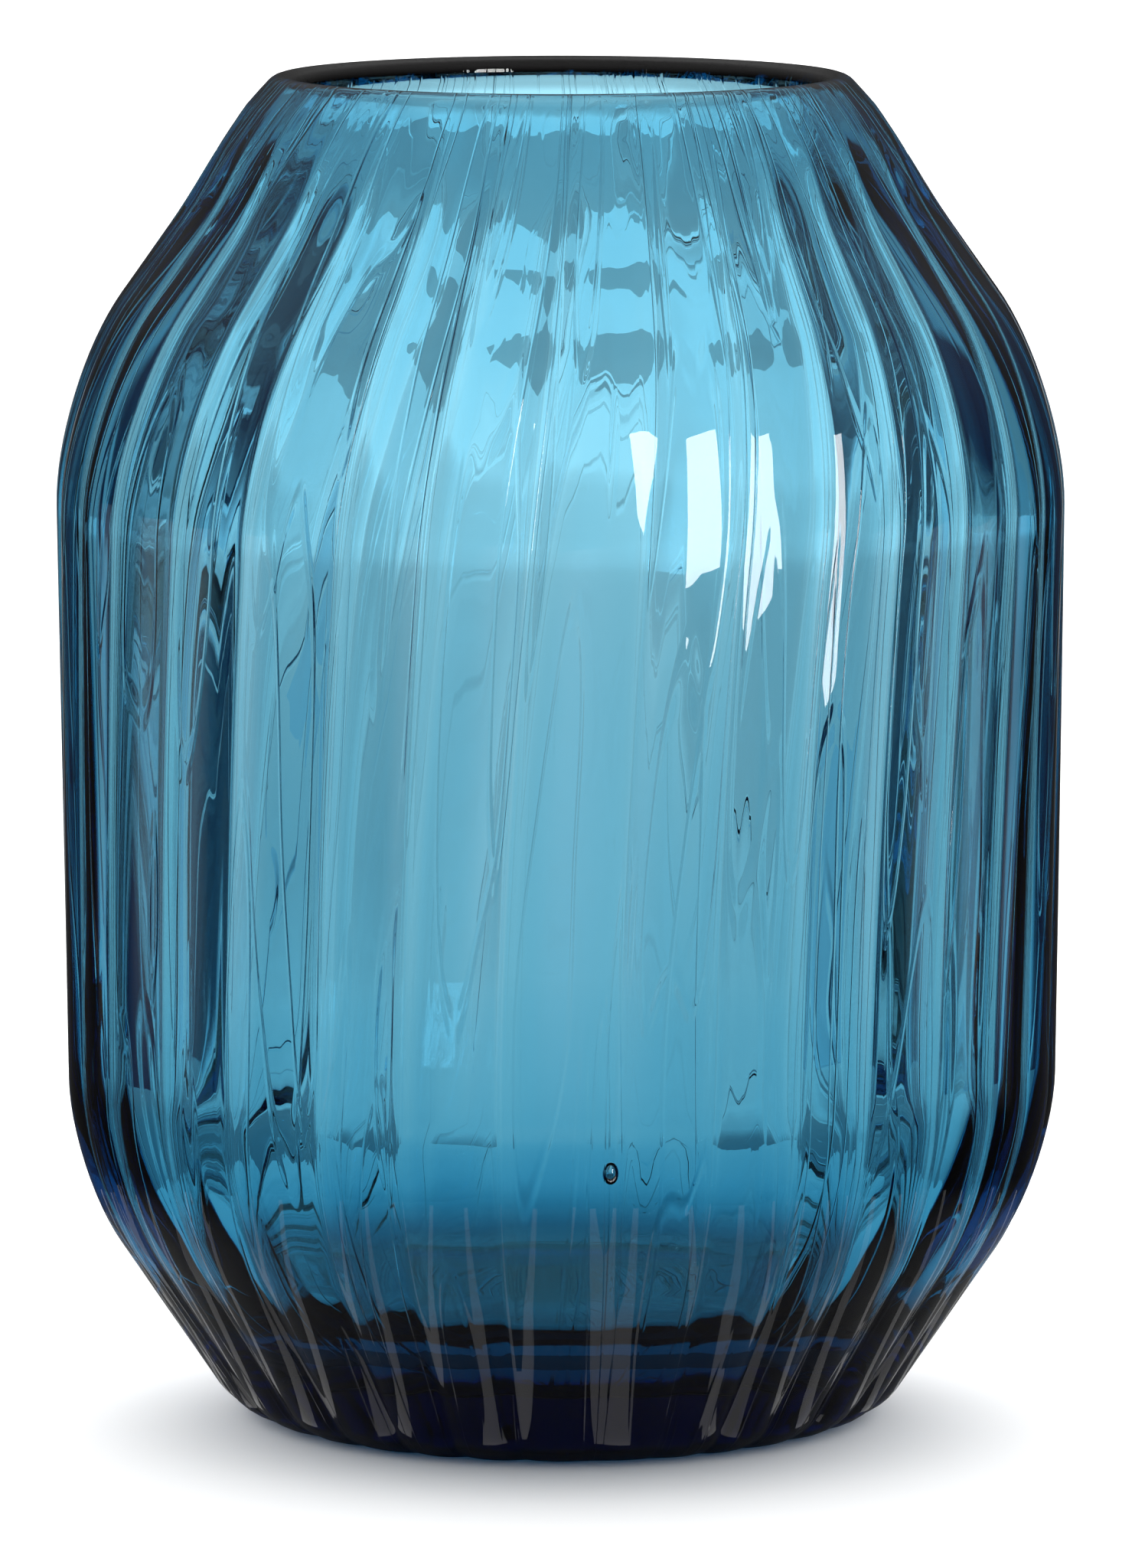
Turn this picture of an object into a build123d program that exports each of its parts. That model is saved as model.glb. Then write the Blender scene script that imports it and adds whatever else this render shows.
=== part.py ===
from build123d import *
import math
import os

# A mouth-blown glass vase with soft upright ribs, made from one piece of glass.
# Sizes are in millimetres. The origin is the centre of the resting face and +Z is up.
# The crest line is the half outline over the rib crests: foot, flared lower part, knee,
# near-upright belly, straight sloping shoulder and a fully rounded lip.

os.makedirs("parts", exist_ok=True)

# Overall sizes.
HEIGHT = 200.0              # resting face to the top of the lip
BELLY_DIAMETER = 150.6      # where the belly and shoulder lines meet
MOUTH_DIAMETER = 78.0       # clear opening inside the lip

# Crest line.
FOOT_DIAMETER = 96.7        # where the resting face and the lower flare meet
KNEE_DIAMETER = 147.7       # where the lower flare and the belly meet
KNEE_HEIGHT = 37.7
SHOULDER_ANGLE = 35.2       # degrees from upright
FOOT_ROUNDING = 11.0
KNEE_ROUNDING = 45.0
SHOULDER_ROUNDING = 54.0

# Glass thickness, from the crest line to the inner face. The wall grows heavier downward.
LIP_WALL = 4.8              # shoulder wall, and the width of the rounded lip
BELLY_WALL = 3.8
KNEE_WALL = 5.5
FLARE_WALL = 7.5
BASE_THICKNESS = 14.5       # resting face to the inner floor
FLOOR_ROUNDING = 34.0       # between the inner floor and the flare

# Underside: the vase stands on a flat ring round a shallow hollow, the punt.
RING_WIDTH = 7.2            # from the punt to the rib valleys
PUNT_DEPTH = 2.0

# Ribs.
RIB_COUNT = 32
RIB_DEPTH = 1.3             # crest line to the bottom of a valley
RIB_PHASE = 3.7             # degrees from the front to the first valley, at the foot
RIB_TWIST = 9.0             # degrees that the ribs turn between the knee and the collar
RIB_FADE = 16.0             # the ribs die out over this height below the collar
COLLAR_HEIGHT = 5.0         # smooth glass at the top, with the lip

RIB_PITCH = 360.0 / RIB_COUNT
FRONT = -90.0               # the front faces -Y
STEPS_PER_STRETCH = 3       # ribbed sections on each line and arc of the crest line


def direction(degrees_from_upright):
    """Unit direction in the half outline, positive when it leans outward."""
    lean = math.radians(degrees_from_upright)
    return Vector(math.sin(lean), math.cos(lean))


def inward(way):
    """Unit direction square to an upward line, toward the axis."""
    return Vector(-way.Y, way.X)


def meet(start, way, other_start, other_way):
    """Point where two lines of the half outline cross."""
    gap = other_start - start
    cross = way.X * other_way.Y - way.Y * other_way.X
    return start + way * ((gap.X * other_way.Y - gap.Y * other_way.X) / cross)


# Corners of the crest line, with X outward and Y up.
shoulder_way = direction(-SHOULDER_ANGLE)
lip_radius = LIP_WALL / 2
lip_centre = Vector(MOUTH_DIAMETER / 2 + lip_radius, HEIGHT - lip_radius)
lip_outer = lip_centre - inward(shoulder_way) * lip_radius
lip_inner = lip_centre + inward(shoulder_way) * lip_radius
lip_end = lip_centre + shoulder_way * lip_radius

foot = Vector(FOOT_DIAMETER / 2, 0)
knee = Vector(KNEE_DIAMETER / 2, KNEE_HEIGHT)
shoulder = meet(Vector(BELLY_DIAMETER / 2, 0), Vector(0, 1), lip_outer, shoulder_way)
flare_way = (knee - foot).normalized()
belly_way = (shoulder - knee).normalized()

# The collar is the smooth top of the shoulder, cut off level at this height.
collar_bottom = HEIGHT - COLLAR_HEIGHT
level = Vector(1, 0)
collar_outer = meet(lip_outer, shoulder_way, Vector(0, collar_bottom), level)
collar_inner = meet(lip_inner, shoulder_way, Vector(0, collar_bottom), level)


def smooth_step(fraction):
    """Ease from 0 to 1 with no kink at either end."""
    held = min(max(fraction, 0.0), 1.0)
    return held * held * (3 - 2 * held)


def rib_section(radius, height):
    """Level slice of the ribbed glass: a ring of arcs that meet in valleys."""
    depth = RIB_DEPTH * smooth_step((collar_bottom - height) / RIB_FADE)
    climb = max(height - KNEE_HEIGHT, 0.0) / (collar_bottom - KNEE_HEIGHT)
    start = FRONT + RIB_PHASE + RIB_TWIST * climb ** 2
    arcs = []
    for rib in range(RIB_COUNT):
        left = start + rib * RIB_PITCH
        valley = Vector(radius - depth, 0, height).rotate(Axis.Z, left)
        crest = Vector(radius, 0, height).rotate(Axis.Z, left + RIB_PITCH / 2)
        next_valley = Vector(radius - depth, 0, height).rotate(Axis.Z, left + RIB_PITCH)
        arcs.append(ThreePointArc(valley, crest, next_valley))
    return Wire(arcs)


def ribbed_body():
    """Solid ribbed body from the resting face up to the collar."""
    inner_end = foot - level * (2 * FOOT_ROUNDING)
    roundings = (FOOT_ROUNDING, KNEE_ROUNDING, SHOULDER_ROUNDING)
    crest_line = FilletPolyline(inner_end, foot, knee, shoulder, collar_outer, radius=roundings)
    stretches = crest_line.edges().sort_by(Axis.Y)[1:]
    sections = []
    for stretch in stretches:
        upward = stretch if (stretch @ 0).Y < (stretch @ 1).Y else stretch.reversed()
        for step in range(STEPS_PER_STRETCH):
            point = upward @ (step / STEPS_PER_STRETCH)
            sections.append(rib_section(point.X, point.Y))
    sections.append(rib_section(collar_outer.X, collar_outer.Y))
    return Solid.make_loft(sections)


def cavity():
    """The hollow inside the ribbed body, open at the collar."""
    flare_face = foot + inward(flare_way) * FLARE_WALL
    floor_corner = meet(flare_face, flare_way, Vector(0, BASE_THICKNESS), level)
    inner_knee = meet(flare_face, flare_way, knee + inward(belly_way) * KNEE_WALL, belly_way)
    inner_shoulder = meet(shoulder + inward(belly_way) * BELLY_WALL, belly_way, lip_inner, shoulder_way)
    roundings = (FLOOR_ROUNDING, KNEE_ROUNDING - KNEE_WALL, SHOULDER_ROUNDING - BELLY_WALL)
    wall_line = FilletPolyline(
        Vector(0, BASE_THICKNESS), floor_corner, inner_knee, inner_shoulder, lip_inner, radius=roundings
    )
    closing = Polyline(lip_inner, Vector(0, lip_inner.Y), Vector(0, BASE_THICKNESS))
    half = Plane.XZ * make_face([*wall_line.edges(), *closing.edges()])
    return revolve(half, Axis.Z)


def collar():
    """Smooth ring at the mouth that ends in the rounded lip."""
    outline = [
        Line(collar_outer, lip_outer),
        ThreePointArc(lip_outer, lip_end, lip_inner),
        Line(lip_inner, collar_inner),
        Line(collar_inner, collar_outer),
    ]
    return revolve(Plane.XZ * make_face(outline), Axis.Z)


def punt():
    """Shallow ball-shaped hollow in the underside."""
    turn = math.atan2(flare_way.Y, flare_way.X)
    flat_radius = foot.X - FOOT_ROUNDING * math.tan(turn / 2)
    punt_radius = flat_radius - RIB_DEPTH - RING_WIDTH
    ball_radius = (punt_radius ** 2 + PUNT_DEPTH ** 2) / (2 * PUNT_DEPTH)
    return Pos(0, 0, PUNT_DEPTH - ball_radius) * Sphere(ball_radius)


def glass_vessel():
    """The whole vase as one solid of glass."""
    return ribbed_body() - cavity() - punt() + collar()


export_step(glass_vessel(), "parts/glass_vessel.step")
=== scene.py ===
# %% [markdown]
# # A ribbed blue glass vase
#
# The vase is one piece of mouth-blown glass. The CAD model holds its sizes, and this script makes
# the glass look like glass: a finer mesh with the small unevenness of hand work, a material that
# gets deeper in colour where the glass is thicker, and a plain studio to see it in.
#
# Every size below is in metres, in the same frame as the CAD model: +Z is up, the origin is the
# middle of the resting face, and the front faces -Y.

# %% Load the CAD frame
import math
import random

import bmesh
import bpy
from mathutils import Matrix, Vector, noise


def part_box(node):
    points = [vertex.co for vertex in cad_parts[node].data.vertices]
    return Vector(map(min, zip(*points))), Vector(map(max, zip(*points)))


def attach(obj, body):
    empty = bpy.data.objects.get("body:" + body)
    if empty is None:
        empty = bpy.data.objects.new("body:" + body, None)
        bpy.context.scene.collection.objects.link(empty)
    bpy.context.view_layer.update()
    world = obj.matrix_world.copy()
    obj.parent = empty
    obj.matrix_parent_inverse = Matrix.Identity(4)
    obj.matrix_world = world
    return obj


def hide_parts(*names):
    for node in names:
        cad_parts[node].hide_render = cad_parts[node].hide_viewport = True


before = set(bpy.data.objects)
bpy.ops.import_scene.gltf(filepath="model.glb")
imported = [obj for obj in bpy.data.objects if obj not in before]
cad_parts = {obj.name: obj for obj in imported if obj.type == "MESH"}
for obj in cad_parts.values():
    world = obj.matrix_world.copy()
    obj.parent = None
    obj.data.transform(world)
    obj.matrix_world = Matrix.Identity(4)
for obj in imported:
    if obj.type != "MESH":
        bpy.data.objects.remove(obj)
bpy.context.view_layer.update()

low_corner, high_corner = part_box("glass_vessel")
height = high_corner[2]
print("vase height", round(height, 4), "widest", round(high_corner[0] - low_corner[0], 4))

# %% [markdown]
# ## The half outline
#
# A blown vase is turned on a pipe, so its outline is the same all round. It could be lofted
# through rings, but a half outline that is spun about the axis is simpler. The outline starts as
# straight lines between a few corners. Each corner is then bevelled, which on a wire rounds it
# to an arc, and each long line is cut into short ones so that the ribs have points to bend.

# %% Corners of the half outline
mm = 0.001
lip_wall, belly_wall, knee_wall, flare_wall = 4.8 * mm, 3.8 * mm, 5.5 * mm, 7.5 * mm
base_thickness = 14.5 * mm
mouth_radius = 39.0 * mm
belly_radius = 75.3 * mm
knee_radius, knee_height = 73.85 * mm, 37.7 * mm
foot_radius = 48.35 * mm
punt_radius, punt_depth = 34.0 * mm, 2.0 * mm
shoulder_angle = math.radians(35.2)
punt_rounding, foot_rounding, knee_rounding = 3 * mm, 11 * mm, 45 * mm
shoulder_rounding, floor_rounding = 54 * mm, 34 * mm


def crossing(start, way, other_start, other_way):
    """Point where two lines of the half outline cross."""
    gap = other_start - start
    return start + way * (gap.cross(other_way) / way.cross(other_way))


def toward_axis(way):
    """Direction square to an upward line, toward the axis."""
    return Vector((-way.y, way.x))


lip_radius = lip_wall / 2
shoulder_way = Vector((-math.sin(shoulder_angle), math.cos(shoulder_angle)))
lip_centre = Vector((mouth_radius + lip_radius, height - lip_radius))
lip_outer = lip_centre - toward_axis(shoulder_way) * lip_radius
lip_inner = lip_centre + toward_axis(shoulder_way) * lip_radius
lip_end = shoulder_way * lip_radius
foot = Vector((foot_radius, 0))
knee = Vector((knee_radius, knee_height))
shoulder = crossing(Vector((belly_radius, 0)), Vector((0, 1)), lip_outer, shoulder_way)
flare_way = (knee - foot).normalized()
belly_way = (shoulder - knee).normalized()

flare_face = foot + toward_axis(flare_way) * flare_wall
floor_corner = crossing(flare_face, flare_way, Vector((0, base_thickness)), Vector((1, 0)))
inner_knee = crossing(flare_face, flare_way, knee + toward_axis(belly_way) * knee_wall, belly_way)
belly_face = shoulder + toward_axis(belly_way) * belly_wall
inner_shoulder = crossing(belly_face, belly_way, lip_inner, shoulder_way)

# Each row is a corner and the radius that rounds it.
outline = [
    (Vector((0, punt_depth)), 0),
    (Vector((punt_radius, 0)), punt_rounding),
    (foot, foot_rounding),
    (knee, knee_rounding),
    (shoulder, shoulder_rounding),
    (lip_outer + lip_end, lip_radius),
    (lip_inner + lip_end, lip_radius),
    (inner_shoulder, shoulder_rounding - belly_wall),
    (inner_knee, knee_rounding - knee_wall),
    (floor_corner, floor_rounding),
    (Vector((0, base_thickness)), 0),
]
print("corners in the half outline:", len(outline))

# %% Draw and round the half outline
ring_spacing = 2.1 * mm
last_outer_corner = 5

glass = bmesh.new()
inner_mark = glass.verts.layers.float.new("inner")
drawn_mark = glass.verts.layers.float_vector.new("drawn")
corner_points = [glass.verts.new((c.x, 0, c.y)) for c, _ in outline]
for place, point in enumerate(corner_points):
    point[inner_mark] = float(place > last_outer_corner)
for start, end in zip(corner_points, corner_points[1:]):
    glass.edges.new((start, end))

for place in range(1, len(outline) - 1):
    before, (corner, radius), after = outline[place - 1][0], outline[place], outline[place + 1][0]
    turn = math.pi - (before - corner).angle(after - corner)
    steps = max(6, round(radius * turn / ring_spacing))
    bmesh.ops.bevel(
        glass, geom=[corner_points[place]], offset=radius * math.tan(turn / 2), offset_type="OFFSET",
        segments=steps, profile=0.5, affect="VERTICES", material=-1,
    )

for edge in list(glass.edges):
    cuts = round(edge.calc_length() / ring_spacing) - 1
    if cuts > 0:
        bmesh.ops.subdivide_edges(glass, edges=[edge], cuts=cuts)
print("points in the half outline:", len(glass.verts))

# %% [markdown]
# ## The glass body
#
# Spinning the half outline once round the axis, and joining the last step to the first, gives a
# closed body with an outer and an inner face. The ribs come after the spin, so the number of
# steps is a whole number for each rib. The points on the axis fall together there, and are merged.

# %% Spin the outline
rib_count = 32
steps_per_rib = 12
on_axis_reach = 0.01 * mm

bmesh.ops.spin(
    glass, geom=glass.verts[:] + glass.edges[:], axis=(0, 0, 1), cent=(0, 0, 0),
    angle=math.tau, steps=rib_count * steps_per_rib, use_merge=True,
)
on_axis = [point for point in glass.verts if math.hypot(point.co.x, point.co.y) < on_axis_reach]
bmesh.ops.remove_doubles(glass, verts=on_axis, dist=on_axis_reach)
bmesh.ops.recalc_face_normals(glass, faces=glass.faces)
print("faces after the spin:", len(glass.faces))

# %% [markdown]
# ## Ribs
#
# The ribs come from an optic mould, a metal cup with a fluted inside. The hot glass takes its
# flutes and is then blown out further, so the ribs grow wide and soft on the belly and stay
# sharp near the foot. No two are quite alike. A displacement texture can't follow the twist, so
# each point is moved: first round the axis, to its place on its own rib, then in or out.

# %% The rib pattern
rib_pitch = math.tau / rib_count
rib_phase = math.radians(3.7 - 90.0)
rib_twist = math.radians(9.0)
rib_depth = 1.3 * mm
collar_bottom = height - 5.0 * mm
hand = random.Random(11)
rib_shift = [hand.uniform(-0.16, 0.16) * rib_pitch for _ in range(rib_count)]
rib_strength = [hand.uniform(0.75, 1.0) for _ in range(rib_count)]
wide_rib = 0
rib_shift[wide_rib], rib_shift[wide_rib + 1] = 0.22 * rib_pitch, 0.20 * rib_pitch
rib_strength[wide_rib], rib_strength[wide_rib + 1] = 0.35, 0.45


def ease(fraction):
    """Ease from 0 to 1 with no kink at either end."""
    held = min(max(fraction, 0.0), 1.0)
    return held * held * (3 - 2 * held)


def valley_angle(rib, level):
    """Angle of the valley on the left of a rib at this level."""
    climb = max(level - knee_height, 0.0) / (collar_bottom - knee_height)
    sway = 0.04 * rib_pitch * noise.noise(Vector((rib * 7.3, level / (90 * mm), 0.0)))
    return rib_phase + rib * rib_pitch + rib_shift[rib % rib_count] + sway + rib_twist * climb ** 2


def rib_depth_at(level):
    """Rib depth: sharp on the flare, softer on the belly, gone at the smooth collar."""
    belly = ease((level - 35 * mm) / (30 * mm)) * ease((165 * mm - level) / (25 * mm))
    fade = ease((collar_bottom - level) / (16 * mm))
    return rib_depth * fade * (1 - 0.15 * belly)


def rib_height(share, crease):
    """Height over a rib, 0 in a valley and 1 on the crest, from the share of its width."""
    from_valley = min(share, 1 - share)
    rounded = math.hypot(from_valley, crease) - crease
    return 1 - (1 - 2 * rounded) ** 2.4


def crowd_to_valleys(share):
    """Even shares of a rib, drawn closer together toward its two valleys."""
    return share - 0.09 * math.sin(math.tau * share)


def hand_waves(point, seed):
    """Slow unevenness of the hand-worked wall, drawn out upward, between -1 and 1."""
    wide = Vector((point.x / (13 * mm), point.y / (13 * mm), point.z / (70 * mm)))
    fine = Vector((point.x / (6 * mm), point.y / (6 * mm), point.z / (60 * mm)))
    return 0.8 * noise.noise(wide + Vector((seed, 0, 0))) + 0.3 * noise.noise(fine + Vector((0, seed, 0)))


# %% Move the points onto the ribs
inner_wave, outer_wave, lip_bead = 0.24 * mm, 0.12 * mm, 0.8 * mm
bead_bottom = 178 * mm
inside_share = 0.25

for point in glass.verts:
    radius = math.hypot(point.co.x, point.co.y)
    if radius < on_axis_reach:
        continue
    level = point.co.z
    inside = point[inner_mark] > 0.5
    around = point.co.xy * (belly_radius / radius)
    # The inner face reads another part of the pattern, half a metre away.
    point[drawn_mark] = (around.x, around.y, level + (0.5 if inside else 0.0))
    turns = (math.atan2(point.co.y, point.co.x) / rib_pitch) % rib_count
    rib = int(turns + 1e-6)
    share = crowd_to_valleys(max(turns - rib, 0.0))
    left, right = valley_angle(rib, level), valley_angle(rib + 1, level)
    if rib + 1 == rib_count:
        right = valley_angle(0, level) + math.tau
    angle = left + (right - left) * share
    strength = rib_strength[rib] + (rib_strength[(rib + 1) % rib_count] - rib_strength[rib]) * share
    depth = rib_depth_at(level) * strength
    below_lip = ease((height - level) / (30 * mm))
    if inside:
        clear_of_floor = ease((level - base_thickness) / (12 * mm))
        radius += inside_share * depth * clear_of_floor * (rib_height(share, 0.3) - 1)
        radius += inner_wave * clear_of_floor * below_lip * hand_waves(point.co, 31.0)
    elif radius > punt_radius + 4 * mm:
        radius += depth * (rib_height(share, 0.04) - 1)
        radius += lip_bead * ease((level - bead_bottom) / (14 * mm)) * ease((height - level) / (5 * mm))
        radius += outer_wave * (hand_waves(point.co, 7.0) - 1) * below_lip
    point.co.x = radius * math.cos(angle)
    point.co.y = radius * math.sin(angle)
print("volume of glass in cubic cm:", round(glass.calc_volume() * 1e6, 1))

# %% [markdown]
# ## A trapped bubble
#
# Thick blown glass often keeps a bubble or two, called seeds. This one sits in the front wall, low
# down, and was drawn a little taller than wide as the vase was made. It is a small ball whose faces
# point into the air inside it, so that light leaves the glass there and enters it again.

# %% A bubble trapped in the wall
bubble_angle = math.radians(5.6 - 90)
bubble_reach, bubble_level = 72.3 * mm, 47.8 * mm
bubble = bmesh.ops.create_icosphere(glass, subdivisions=3, radius=1.5 * mm)["verts"]
bmesh.ops.scale(glass, vec=(0.8, 0.8, 1.1), verts=bubble)
bubble_x, bubble_y = bubble_reach * math.cos(bubble_angle), bubble_reach * math.sin(bubble_angle)
bubble_place = Vector((bubble_x, bubble_y, bubble_level))
bmesh.ops.translate(glass, vec=bubble_place, verts=bubble)
bmesh.ops.reverse_faces(glass, faces=list({face for point in bubble for face in point.link_faces}))
print("bubble at", [round(v, 4) for v in bubble_place])

# %% [markdown]
# ## One object for the whole vase
#
# The real vase is a single piece, so the mesh becomes one object. It stands for the CAD node, which
# stays hidden as the solid that other things bump into, and it takes its place in the same frame.

# %% Make the vessel's object
vessel_mesh = bpy.data.meshes.new("glass_vessel_fine")
glass.to_mesh(vessel_mesh)
glass.free()
vessel_mesh.shade_smooth()
vessel = bpy.data.objects.new("glass_vessel_fine", vessel_mesh)
bpy.context.collection.objects.link(vessel)
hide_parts("glass_vessel")
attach(vessel, "root")
print("triangles in the vessel:", sum(len(p.vertices) - 2 for p in vessel_mesh.polygons))

# %% [markdown]
# ## Blue glass
#
# The blue is in the glass, not on it, so the surface is clear and the colour comes from a volume.
# Each millimetre takes away about 18% of the red, 7% of the green and 4% of the blue.
# That is why the walls look sky blue and the thick base looks navy, with no painted gradient.

# %% The glass material
glass_tint, glass_density = (0.04, 0.64, 0.795), 210.0

blue_glass = bpy.data.materials.new("blue_glass")
blue_glass.use_nodes = True
nodes, links = blue_glass.node_tree.nodes, blue_glass.node_tree.links
surface = nodes["Principled BSDF"]
surface.inputs["Base Color"].default_value = (1, 1, 1, 1)
surface.inputs["Roughness"].default_value = 0.0
surface.inputs["IOR"].default_value = 1.5
surface.inputs["Transmission Weight"].default_value = 1.0
body = nodes.new("ShaderNodeVolumeAbsorption")
body.inputs["Color"].default_value = (*glass_tint, 1)
body.inputs["Density"].default_value = glass_density
links.new(body.outputs["Volume"], nodes["Material Output"].inputs["Volume"])
vessel_mesh.materials.append(blue_glass)
shown_through = [math.exp(-(1 - c) * glass_density * 5 * mm) for c in glass_tint]
print("light left after 5 mm of glass:", [round(v, 2) for v in shown_through])

# %% [markdown]
# ## Cords and streaks
#
# Blown glass isn't quite even. Threads of slightly different glass, called cords, are drawn out
# along the walls, and they show as thin lines and long closed loops. They could be cut into the
# mesh, but they are finer than its faces, so a Bump node carries them. Its pattern reads a vertex
# attribute that follows each point up its own rib, so that the lines lean with the ribs.

# %% Node helpers
def math_node(tree, kind, first, second):
    """One Math node on two values or sockets."""
    step = tree.nodes.new("ShaderNodeMath")
    step.operation = kind
    for socket, value in zip(step.inputs, (first, second)):
        if isinstance(value, (int, float)):
            socket.default_value = value
        else:
            tree.links.new(value, socket)
    return step.outputs[0]


def ease_node(tree, value, start, end, at_start, at_end):
    """A value that eases from one to another as a socket's own value goes from start to end."""
    ramp = tree.nodes.new("ShaderNodeMapRange")
    ramp.interpolation_type = "SMOOTHSTEP"
    ramp.inputs["From Min"].default_value = start
    ramp.inputs["From Max"].default_value = end
    ramp.inputs["To Min"].default_value = at_start
    ramp.inputs["To Max"].default_value = at_end
    tree.links.new(value, ramp.inputs["Value"])
    return ramp.outputs["Result"]


def drawn_noise(width, length, detail):
    """Noise that is narrow round the vase and long up it, from the piece's own coordinates."""
    stretch = nodes.new("ShaderNodeMapping")
    stretch.inputs["Scale"].default_value = (1 / width, 1 / width, 1 / length)
    links.new(place_on_piece.outputs["Vector"], stretch.inputs["Vector"])
    pattern = nodes.new("ShaderNodeTexNoise")
    pattern.inputs["Scale"].default_value = 1.0
    pattern.inputs["Detail"].default_value = detail
    links.new(stretch.outputs["Vector"], pattern.inputs["Vector"])
    return pattern.outputs["Fac"]


# %% Cords and streaks in the glass
cord_share, streak_share = 0.36, 0.45
cord_width = 0.016
loop_size = 0.25

glass_tree = blue_glass.node_tree
place_on_piece = nodes.new("ShaderNodeAttribute")
place_on_piece.attribute_name = "drawn"
loops = drawn_noise(7 * mm, 110 * mm, 0.5)
folded = math_node(glass_tree, "PINGPONG", loops, loop_size)
off_line = math_node(glass_tree, "ABSOLUTE", math_node(glass_tree, "SUBTRACT", folded, loop_size / 2), 0.0)
cord_line = ease_node(glass_tree, off_line, 0.0, cord_width, 1.0, 0.0)
streaks = drawn_noise(5 * mm, 150 * mm, 1.0)
soft_streaks = math_node(glass_tree, "MULTIPLY", streaks, streak_share)
thin_cords = math_node(glass_tree, "MULTIPLY", cord_line, cord_share)
relief = math_node(glass_tree, "ADD", thin_cords, soft_streaks)
ripple = nodes.new("ShaderNodeBump")
ripple.inputs["Strength"].default_value = 1.0
ripple.inputs["Distance"].default_value = 0.12 * mm
links.new(relief, ripple.inputs["Height"])
links.new(ripple.outputs["Normal"], surface.inputs["Normal"])
print("nodes in the glass:", len(nodes))

# %% [markdown]
# ## The studio
#
# Clear glass shows its surroundings, so the studio shapes it as much as the mesh does. On an even
# white set a glass edge disappears. So dark cards stand just outside the view, and the sides of
# the glass bend them in as dark bands. The cards here are mirrored from left to right and from
# front to back, so that the vase keeps its dark sides when it is seen from behind.

# %% Studio helpers
def plain_material(name, color, roughness=1.0, glow=0.0):
    """A matt material for the studio's own things, which may give light."""
    material = bpy.data.materials.new(name)
    material.use_nodes = True
    shader = material.node_tree.nodes["Principled BSDF"]
    shader.inputs["Base Color"].default_value = (*color, 1)
    shader.inputs["Roughness"].default_value = roughness
    shader.inputs["Emission Color"].default_value = (1, 1, 1, 1)
    shader.inputs["Emission Strength"].default_value = glow
    shader.inputs["Specular IOR Level"].default_value = 0.0
    return material


def studio_panel(name, azimuth, distance, width, bottom, top, material, lying=False):
    """A panel that faces the vase, or lies on the floor and reaches inward from its distance.

    Azimuth 0 is the front, and 90 is +X.
    """
    shape = bmesh.new()
    shape.loops.layers.uv.new("UVMap")
    bmesh.ops.create_grid(shape, x_segments=1, y_segments=1, size=0.5, calc_uvs=True)
    bmesh.ops.scale(shape, vec=(width, top - bottom, 1), verts=shape.verts)
    bmesh.ops.translate(shape, vec=(0, (top + bottom) / 2, 0), verts=shape.verts)
    if lying:
        bmesh.ops.translate(shape, vec=(0, -distance - top - bottom, 0.5 * mm), verts=shape.verts)
    else:
        bmesh.ops.rotate(shape, matrix=Matrix.Rotation(math.radians(90), 3, "X"), verts=shape.verts)
        bmesh.ops.translate(shape, vec=(0, -distance, 0), verts=shape.verts)
    bmesh.ops.rotate(shape, matrix=Matrix.Rotation(math.radians(azimuth), 3, "Z"), verts=shape.verts)
    mesh = bpy.data.meshes.new(name)
    shape.to_mesh(mesh)
    shape.free()
    mesh.materials.append(material)
    panel = bpy.data.objects.new(name, mesh)
    bpy.context.collection.objects.link(panel)
    panel.visible_camera = False
    panel.visible_diffuse = False
    panel.visible_shadow = False
    return panel


# %% [markdown]
# ## Cards and lights
#
# A card with a soft edge gives a band that fades, which a hard edge can't. The material is nearly
# black in the middle and turns clear toward the sides. A tall soft light stands to the right of the
# camera and shows as a bright window on the shoulder, and a low one behind lights the far ribs. Thin
# strips of light on the floor draw the lower ribs. Only the glass sees any of these.

# %% Soft-edged dark cards and a soft light
def dark_card_material(name, darkness, clear_below, edge=(1, 1, 1)):
    """Darkest in the middle and clear toward both sides and the foot, by the card's own UV map."""
    material = bpy.data.materials.new(name)
    material.use_nodes = True
    tree = material.node_tree
    card, wires = tree.nodes, tree.links
    across = card.new("ShaderNodeUVMap")
    split = card.new("ShaderNodeSeparateXYZ")
    wires.new(across.outputs["UV"], split.inputs["Vector"])
    from_middle = math_node(tree, "ABSOLUTE", math_node(tree, "SUBTRACT", split.outputs["X"], 0.5), 0.0)
    clear_at_sides = ease_node(tree, from_middle, 0.20, 0.5, 1.0 - darkness, 1.0)
    clear_at_foot = ease_node(tree, split.outputs["Y"], 0.0, max(clear_below, 0.001), 1.0, 0.0)
    clearest = math_node(tree, "MAXIMUM", clear_at_sides, clear_at_foot)
    dark = card.new("ShaderNodeBsdfDiffuse")
    dark.inputs["Color"].default_value = (0.003, 0.014, 0.038, 1)
    see_through = card.new("ShaderNodeBsdfTransparent")
    see_through.inputs["Color"].default_value = (*edge, 1)
    blend = card.new("ShaderNodeMixShader")
    wires.new(clearest, blend.inputs["Fac"])
    wires.new(dark.outputs[0], blend.inputs[1])
    wires.new(see_through.outputs[0], blend.inputs[2])
    wires.new(blend.outputs[0], card["Material Output"].inputs["Surface"])
    return material


dark_card = dark_card_material("dark_card", 1.0, 0.0, edge=(0.72, 0.90, 1.0))
half_card = dark_card_material("half_card", 0.45, 0.35)
faint_card = dark_card_material("faint_card", 0.22, 0.35)
dark_mat = dark_card_material("dark_mat", 0.65, 0.0)
card_distance, card_top, mat_reach = 0.24, 0.42, 0.14

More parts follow.
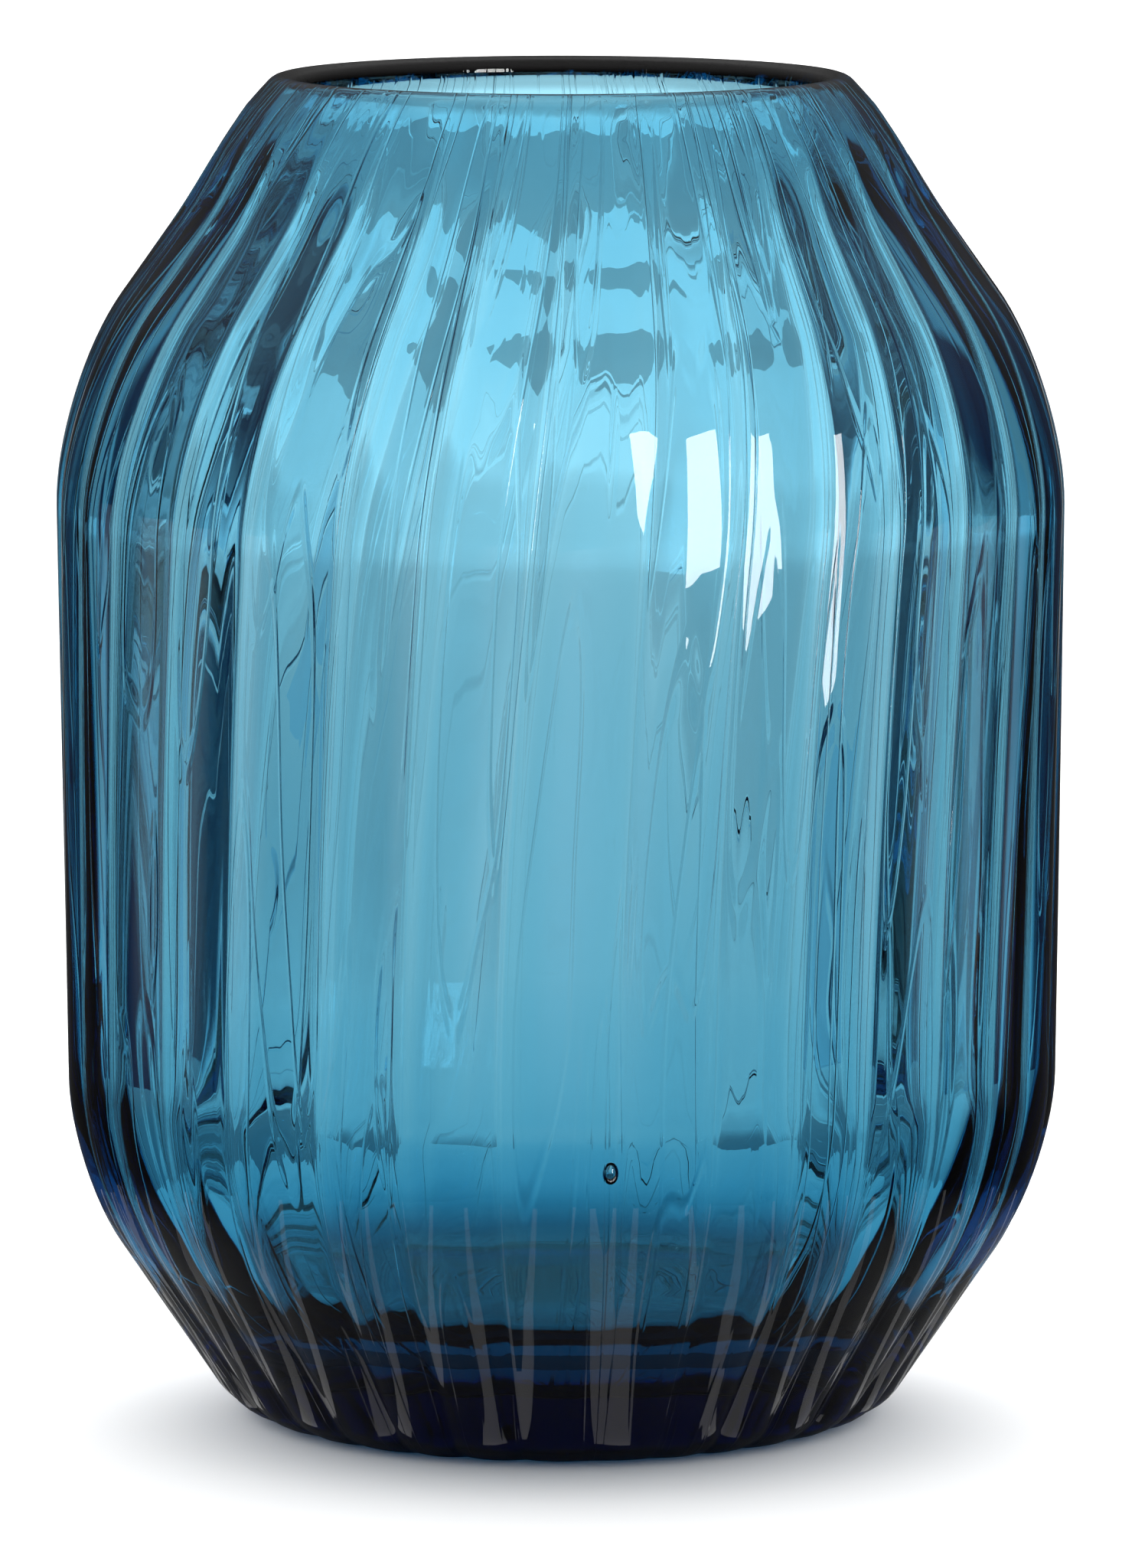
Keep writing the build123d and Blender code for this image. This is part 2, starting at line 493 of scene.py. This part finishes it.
# Each row is where a card's middle stands and how wide it looks from the vase, in degrees.
for middle, spread, card_finish in (
    (33, 25, dark_card), (68, 26, dark_card), (50, 20, half_card), (16, 24, faint_card),
):
    card_width = 2 * card_distance * math.tan(math.radians(spread / 2))
    for azimuth in (middle, -middle, 180 - middle, 180 + middle):
        card = studio_panel(f"card_{azimuth}", azimuth, card_distance, card_width, 0.0, card_top, card_finish)
        card.visible_glossy = False
        if card_finish == dark_card:
            mat = studio_panel(f"mat_{azimuth}", azimuth, card_distance, card_width, -mat_reach, 0.0,
                               dark_mat, lying=True)
            mat.visible_glossy = False

light_distance = 0.9
key_light = plain_material("key_panel", (0, 0, 0), glow=14.0)
studio_panel("key_panel", 32.0, light_distance, 0.27, 0.020, 0.62, key_light)
back_light = plain_material("back_panel", (0, 0, 0), glow=10.0)
back_panel = studio_panel("back_panel", 180.0, light_distance, 0.20, 0.012, 0.13, back_light)
back_panel.visible_transmission = False
strip_light = plain_material("floor_strip", (0, 0, 0), glow=0.6)
for azimuth in range(9, 369, 20):
    strip = studio_panel(f"floor_strip_{azimuth}", azimuth, 0.13, 0.005, -0.08, 0.0, strip_light, lying=True)
    strip.visible_transmission = False

# %% [markdown]
# ## The floor
#
# The floor is matt white paper. Seen through the glass it has a painted glow, like a light table, with
# painted shade close under the vase. In the glass's reflections it is painted dark, lighter only from a
# quarter of a metre outward, so that the base keeps its depth and the edges catch a painted reflection.

# %% Floor
stage_mesh = bpy.data.meshes.new("floor")
floor_shape = bmesh.new()
bmesh.ops.create_grid(floor_shape, x_segments=1, y_segments=1, size=4.0)
floor_shape.to_mesh(stage_mesh)
floor_shape.free()
floor = bpy.data.objects.new("floor", stage_mesh)
bpy.context.collection.objects.link(floor)
paper_white = 0.95
paper = plain_material("pale_paper", (paper_white, paper_white, paper_white))
stage_mesh.materials.append(paper)
paper_nodes, paper_links = paper.node_tree.nodes, paper.node_tree.links
paper_shader = paper_nodes["Principled BSDF"]
ray = paper_nodes.new("ShaderNodeLightPath")
spot = paper_nodes.new("ShaderNodeTexCoord")
reach = paper_nodes.new("ShaderNodeVectorMath")
reach.operation = "LENGTH"
paper_links.new(spot.outputs["Object"], reach.inputs[0])


def by_reach(near, far, at_near, at_far):
    """A value that eases from one to another with the distance from the vase's axis."""
    return ease_node(paper.node_tree, reach.outputs["Value"], near, far, at_near, at_far)


def paper_math(kind, first, second):
    """One Math node in the paper's material."""
    return math_node(paper.node_tree, kind, first, second)


# Painted reflection: in the glass's reflections the paper's colour is painted dim close to the vase, darker a
# little further out, and lighter far out in four quarters.
in_gloss_only = paper_nodes.new("ShaderNodeMix")
in_gloss_only.inputs["A"].default_value = paper_white
paper_links.new(ray.outputs["Is Glossy Ray"], in_gloss_only.inputs["Factor"])
split_spot = paper_nodes.new("ShaderNodeSeparateXYZ")
paper_links.new(spot.outputs["Object"], split_spot.inputs["Vector"])
bearing = paper_math("ARCTAN2", split_spot.outputs["Y"], split_spot.outputs["X"])
quarters = paper_math("COSINE", paper_math("MULTIPLY", bearing, 4.0), 0.0)
bright_quarters = paper_math("POWER", paper_math("MAXIMUM", quarters, 0.0), 2.0)
far_light = paper_math("MULTIPLY", bright_quarters, by_reach(0.25, 0.6, 0.0, 0.35))
near_light = by_reach(0.085, 0.14, 0.16, 0.02)
painted_reflection_tone = paper_math("MULTIPLY", paper_math("ADD", near_light, far_light), ray.outputs["Is Reflection Ray"])
paper_links.new(painted_reflection_tone, in_gloss_only.inputs["B"])
paper_white_with_painted_reflection = paper_nodes.new("ShaderNodeCombineColor")
for channel in paper_white_with_painted_reflection.inputs:
    paper_links.new(in_gloss_only.outputs["Result"], channel)
paper_links.new(paper_white_with_painted_reflection.outputs["Color"], paper_shader.inputs["Base Color"])
# Painted glow: the paper gives light only to rays through the glass, with painted shade close under the vase.
painted_glow_under_glass = paper_math("ADD", by_reach(0.035, 0.085, 0.20, 0.93), by_reach(0.9, 1.6, 0.0, 0.60))
painted_glow_seen_in_glass = paper_math("MULTIPLY", ray.outputs["Is Transmission Ray"], painted_glow_under_glass)
paper_links.new(painted_glow_seen_in_glass, paper_shader.inputs["Emission Strength"])
print("nodes in the floor's paper:", len(paper_nodes))

# %% [markdown]
# ## The light from around
#
# One even white world would flatten the glass, so each kind of ray gets its own: plain white for
# the camera, a bright low band behind the glass, a dim one for reflections, and a stronger one from
# behind for the paper, which makes a short soft shadow that falls forward.

# %% World
world = bpy.data.worlds.new("studio")
bpy.context.scene.world = world
world.use_nodes = True
sky, sky_links = world.node_tree.nodes, world.node_tree.links
way = sky.new("ShaderNodeTexCoord")
split_way = sky.new("ShaderNodeSeparateXYZ")
sky_links.new(way.outputs["Generated"], split_way.inputs["Vector"])
path = sky.new("ShaderNodeLightPath")


def sky_band(low, high, below, above, axis="Z"):
    """Light that eases from one strength to another across the sky, along one axis."""
    strength = ease_node(world.node_tree, split_way.outputs[axis], low, high, below, above)
    light = sky.new("ShaderNodeBackground")
    sky_links.new(strength, light.inputs["Strength"])
    return light.outputs[0]


def choose_by_ray(kind, otherwise, chosen):
    """Give one kind of ray its own sky."""
    choose = sky.new("ShaderNodeMixShader")
    sky_links.new(path.outputs[kind], choose.inputs["Fac"])
    sky_links.new(otherwise, choose.inputs[1])
    sky_links.new(chosen, choose.inputs[2])
    return choose.outputs[0]


behind_glass = sky_band(math.sin(math.radians(35)), math.sin(math.radians(65)), 1.0, 0.40)
seen_direct = sky_band(0.0, 1.0, 1.0, 1.0)
on_floor = sky_band(-1.0, 1.0, 0.5, 4.2, "Y")
in_gloss = sky_band(0.0, 0.9, 0.06, 0.55)
whole = choose_by_ray("Is Camera Ray", on_floor, seen_direct)
whole = choose_by_ray("Is Transmission Ray", whole, behind_glass)
whole = choose_by_ray("Is Reflection Ray", whole, in_gloss)
whole = choose_by_ray("Is Diffuse Ray", whole, on_floor)
sky_links.new(whole, sky["World Output"].inputs["Surface"])
print("nodes in the world:", len(sky))

# %% [markdown]
# ## The camera
#
# A long lens from a little above the mouth keeps the sides nearly upright and shows the mouth as a
# thin ellipse. Glass needs many bounces, because a ray crosses four faces or more.

# %% Camera
camera_distance, camera_height, looking_down = 1.6, 0.3108, 7.71
glass_bounces = 32

camera_data = bpy.data.cameras.new("camera")
camera_data.sensor_fit = "VERTICAL"
camera_data.sensor_height = 36.0
camera_data.lens = 248.7
camera = bpy.data.objects.new("camera", camera_data)
camera.location = (0.0, -camera_distance, camera_height)
camera.rotation_euler = (math.radians(90 - looking_down), 0, 0)
bpy.context.collection.objects.link(camera)
bpy.context.scene.camera = camera
print("lens", round(camera_data.lens, 1), "mm, looking down", looking_down, "degrees")

bpy.context.scene.view_settings.view_transform = "Standard"
bpy.context.scene.cycles.max_bounces = glass_bounces
bpy.context.scene.cycles.transmission_bounces = glass_bounces
